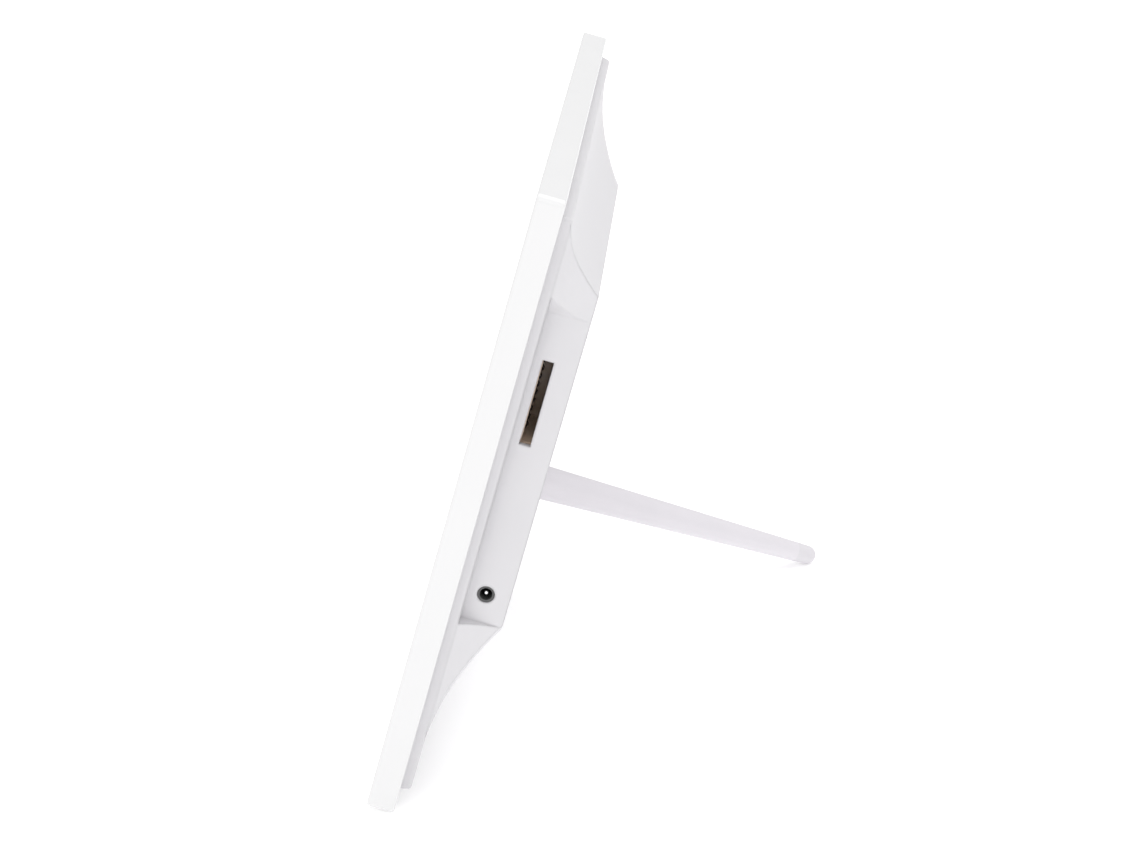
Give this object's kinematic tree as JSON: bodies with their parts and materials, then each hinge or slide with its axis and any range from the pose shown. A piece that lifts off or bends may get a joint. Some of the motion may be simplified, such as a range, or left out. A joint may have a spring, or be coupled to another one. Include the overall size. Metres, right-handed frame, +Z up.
{
  "type": "digital photo frame",
  "caption": "Landscape digital photo frame with a flared rear housing, side memory card slot and DC inlet, back buttons and a screw-in tapered support peg.",
  "frame": {"origin": "centre of the object's footprint box, on the table it stands on", "axes": "+X to the viewer's right seen from the front, +Y backwards, +Z up; the frame leans back 15.4 degrees on its peg"},
  "size_m": [0.228, 0.136, 0.1869],
  "materials": {
    "bezel_white": "glossy white ABS, fine moulded surface",
    "cover_white": "satin white ABS with a fine spark-eroded grain",
    "clear_acrylic": "clear polished acrylic",
    "mat_silver": "satin silver-grey mat",
    "foam_black": "closed-cell foam",
    "panel_steel": "bright pressed sheet",
    "lcd_glass": "dark polarised glass, display off",
    "guide_acrylic": "frosted acrylic",
    "board_green": "green solder mask on glass laminate",
    "chip_black": "moulded epoxy",
    "battery_steel": "nickel-plated can",
    "screw_steel": "zinc-plated",
    "connector_black": "glass-filled nylon",
    "connector_steel": "tinned sheet",
    "contact_brass": "gold-flashed spring bronze",
    "pin_steel": "nickel-plated",
    "speaker_steel": "zinc-plated",
    "speaker_paper": "doped paper",
    "flat_cable": "polyimide film",
    "insert_brass": "turned and knurled",
    "rubber_grey": "soft grey rubber",
    "foot_rubber": "pale grey soft elastomer",
    "peg_plastic": "satin pale grey-white ABS",
    "stud_steel": "zinc-plated M6 thread",
    "key_plastic": "satin white ABS keys"
  },
  "bodies": {
    "root": {"front_bezel": "bezel_white", "rear_cover": "cover_white", "screen_lens": "clear_acrylic", "screen_mat": "mat_silver", "foam_gasket": "foam_black", "panel_frame": "panel_steel", "lcd_glass": "lcd_glass", "light_guide": "guide_acrylic", "panel_back_plate": "panel_steel", "main_board": "board_green", "board_chips": "chip_black", "battery_holder": "connector_black", "clock_battery": "battery_steel", "board_screws": "screw_steel", "key_board_screws": "screw_steel", "cover_screws": "screw_steel", "card_connector_base": "connector_black", "card_connector_shell": "connector_steel", "card_contacts": "contact_brass", "dc_jack_body": "connector_black", "dc_jack_pin": "pin_steel", "speaker_frame_left": "speaker_steel", "speaker_frame_right": "speaker_steel", "speaker_cone_left": "speaker_paper", "speaker_cone_right": "speaker_paper", "button_board": "board_green", "tact_switches": "connector_black", "power_switch": "connector_black", "panel_cable": "flat_cable", "key_cable": "flat_cable", "threaded_insert": "insert_brass"},
    "peg_collar": {"peg_washer": "rubber_grey"},
    "peg": {"peg_rod": "peg_plastic", "peg_stud": "stud_steel", "peg_foot": "foot_rubber"},
    "power_slider": {"power_slider": "key_plastic"},
    "button_up": {"button_up": "key_plastic"},
    "button_down": {"button_down": "key_plastic"},
    "button_left": {"button_left": "key_plastic"},
    "button_right": {"button_right": "key_plastic"},
    "button_enter": {"button_enter": "key_plastic"},
    "button_menu": {"button_menu": "key_plastic"},
    "button_back": {"button_back": "key_plastic"}
  },
  "joints": [
    {"name": "peg_advance", "type": "slide", "parent": "root", "child": "peg_collar", "axis": [-0.4272, 0.8163, -0.3888], "range_m": [0, 0.006]},
    {"name": "peg_turn", "type": "hinge", "parent": "peg_collar", "child": "peg", "pos_m": [-0.038, -0.03088, 0.04881], "axis": [-0.4272, 0.8163, -0.3888], "range_deg": [0, 2162]},
    {"name": "power_slide", "type": "slide", "parent": "root", "child": "power_slider", "axis": [0, 0.2656, 0.9641], "range_m": [0, 0.004]},
    {"name": "button_up_press", "type": "slide", "parent": "root", "child": "button_up", "axis": [0, -0.9641, 0.2656], "range_m": [0, 0.00045], "stiffness_N_per_m": 600, "springref_m": -0.0006},
    {"name": "button_down_press", "type": "slide", "parent": "root", "child": "button_down", "axis": [0, -0.9641, 0.2656], "range_m": [0, 0.00045], "stiffness_N_per_m": 600, "springref_m": -0.0006},
    {"name": "button_left_press", "type": "slide", "parent": "root", "child": "button_left", "axis": [0, -0.9641, 0.2656], "range_m": [0, 0.00045], "stiffness_N_per_m": 600, "springref_m": -0.0006},
    {"name": "button_right_press", "type": "slide", "parent": "root", "child": "button_right", "axis": [0, -0.9641, 0.2656], "range_m": [0, 0.00045], "stiffness_N_per_m": 600, "springref_m": -0.0006},
    {"name": "button_enter_press", "type": "slide", "parent": "root", "child": "button_enter", "axis": [0, -0.9641, 0.2656], "range_m": [0, 0.00045], "stiffness_N_per_m": 600, "springref_m": -0.0006},
    {"name": "button_menu_press", "type": "slide", "parent": "root", "child": "button_menu", "axis": [0, -0.9641, 0.2656], "range_m": [0, 0.00045], "stiffness_N_per_m": 600, "springref_m": -0.0006},
    {"name": "button_back_press", "type": "slide", "parent": "root", "child": "button_back", "axis": [0, -0.9641, 0.2656], "range_m": [0, 0.00045], "stiffness_N_per_m": 600, "springref_m": -0.0006}
  ],
  "couplings": [
    {"joint": "peg_turn", "follows": "peg_advance", "rad_per_m": 6283.2}
  ]
}
